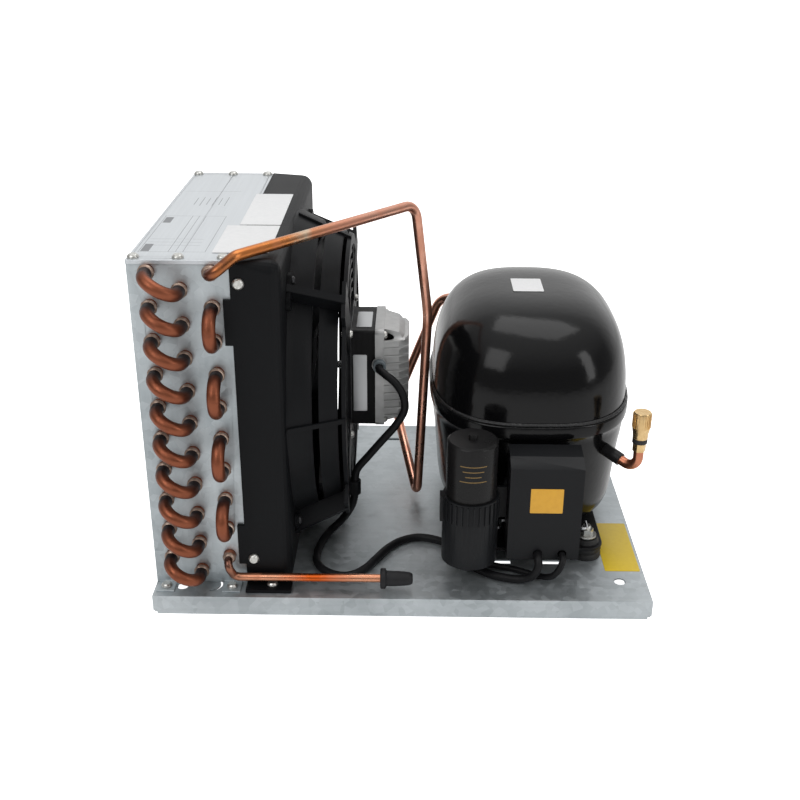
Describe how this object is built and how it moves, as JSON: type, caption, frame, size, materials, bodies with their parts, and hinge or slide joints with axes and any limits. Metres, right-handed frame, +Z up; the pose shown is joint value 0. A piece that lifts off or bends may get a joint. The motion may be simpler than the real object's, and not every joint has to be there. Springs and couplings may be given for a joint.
{
  "type": "air-cooled condensing unit",
  "caption": "Air-cooled refrigeration condensing unit: tube-and-fin coil, shrouded fan and hermetic compressor on a folded galvanised tray.",
  "frame": {"origin": "middle of the tray in plan, at the underside of its skirt", "axes": "+X from the coil to the compressor, +Y to the back, away from the coil's pipe ends and the terminal cover, +Z up"},
  "size_m": [0.384, 0.3129, 0.2882],
  "materials": {
    "galvanised_sheet": "rolled galvanised sheet, faintly spangled",
    "zinc_steel": "bright zinc plate",
    "black_steel": "black oxide",
    "fin_aluminium": "mill-finish sheet fins",
    "aged_copper": "copper tube darkened by brazing",
    "braze_alloy": "braze fillets",
    "copper_tube": "drawn copper tube",
    "black_rubber": "matt black rubber and cable sheath",
    "black_moulding": "satin black moulding",
    "ground_steel": "ground or drawn steel",
    "rotor_metal": "turned rotor stack",
    "laminations": "stamped steel laminations",
    "enamelled_copper": "enamelled winding wire",
    "bearing_bronze": "sintered bronze",
    "cast_aluminium": "die-cast grey",
    "black_enamel": "gloss black enamel over pressed steel",
    "grey_iron": "machined grey iron",
    "forged_rod": "sintered connecting rod",
    "yellow_brass": "turned brass"
  },
  "bodies": {
    "unit": {"base_tray": "galvanised_sheet", "coil_front_plate": "galvanised_sheet", "coil_rear_plate": "galvanised_sheet", "coil_top_plate": "galvanised_sheet", "coil_screws": "zinc_steel", "fin_pack": "fin_aluminium", "hairpin_tubes": "aged_copper", "return_bends": "aged_copper", "braze_rings": "braze_alloy", "discharge_pipe": "copper_tube", "liquid_line": "copper_tube", "fan_shroud": "black_moulding", "shroud_screws": "zinc_steel", "motor_basket": "black_moulding", "basket_screws": "black_steel", "motor_bearings": "bearing_bronze", "motor_bracket": "cast_aluminium", "motor_stack": "laminations", "motor_windings": "enamelled_copper", "motor_end_cap": "cast_aluminium", "motor_screws": "zinc_steel", "cable_gland": "cast_aluminium", "fan_cable": "black_rubber", "cable_clip": "black_moulding", "lower_shell": "black_enamel", "upper_shell": "black_enamel", "weld_bead": "black_enamel", "shell_base": "black_enamel", "rubber_grommets": "black_rubber", "grommet_sleeves": "zinc_steel", "compressor_bolts": "zinc_steel", "compressor_stator": "laminations", "compressor_windings": "enamelled_copper", "cylinder_block": "grey_iron", "cylinder_head": "grey_iron", "suspension_springs": "ground_steel", "shock_loop": "copper_tube", "suction_stub": "copper_tube", "terminal_fence": "black_moulding", "terminal_pins": "ground_steel", "start_relay": "black_moulding", "terminal_cover": "black_moulding", "capacitor": "black_moulding", "capacitor_holder": "black_moulding", "capacitor_lead": "black_rubber", "service_stub": "copper_tube", "service_valve": "yellow_brass"},
    "fan": {"fan_wheel": "black_moulding", "fan_nut": "zinc_steel", "motor_shaft": "ground_steel", "motor_rotor": "rotor_metal"},
    "crank": {"crankshaft": "ground_steel", "compressor_rotor": "rotor_metal"},
    "piston_rod": {"piston": "grey_iron", "connecting_rod": "forged_rod"},
    "line_cap": {"liquid_line_cap": "black_rubber"},
    "clip": {"cover_clip": "ground_steel"},
    "core": {"valve_core": "yellow_brass"},
    "cap_seal": {"service_cap_seal": "black_rubber"},
    "cap": {"service_cap": "yellow_brass"}
  },
  "joints": [
    {"name": "fan_spin", "type": "hinge", "parent": "unit", "child": "fan", "pos_m": [-0.05, -0.001, 0.147], "axis": [1, 0, 0], "continuous": true},
    {"name": "crank_spin", "type": "hinge", "parent": "unit", "child": "crank", "pos_m": [0.104, 0.0195, 0.08], "axis": [0, 0, 1], "continuous": true},
    {"name": "piston_stroke", "type": "slide", "parent": "unit", "child": "piston_rod", "axis": [0, 1, 0], "range_m": [-0.008, 0.008]},
    {"name": "line_cap_pull", "type": "slide", "parent": "unit", "child": "line_cap", "axis": [1, 0, 0], "range_m": [0, 0.045]},
    {"name": "clip_swing", "type": "hinge", "parent": "unit", "child": "clip", "pos_m": [0.109, -0.091, 0.05], "axis": [1, 0, 0], "range_deg": [-45, 20]},
    {"name": "core_press", "type": "slide", "parent": "unit", "child": "core", "axis": [0, 0, -1], "range_m": [0, 0.002], "stiffness_N_per_m": 1500, "springref_m": -0.0005},
    {"name": "cap_lift", "type": "slide", "parent": "unit", "child": "cap_seal", "axis": [0, 0, 1], "range_m": [0, 0.00508]},
    {"name": "cap_turn", "type": "hinge", "parent": "cap_seal", "child": "cap", "pos_m": [0.183, -0.09, 0.14], "axis": [0, 0, 1], "range_deg": [0, 1440]}
  ],
  "couplings": [
    {"joint": "cap_turn", "follows": "cap_lift", "rad_per_m": 4947.3}
  ]
}
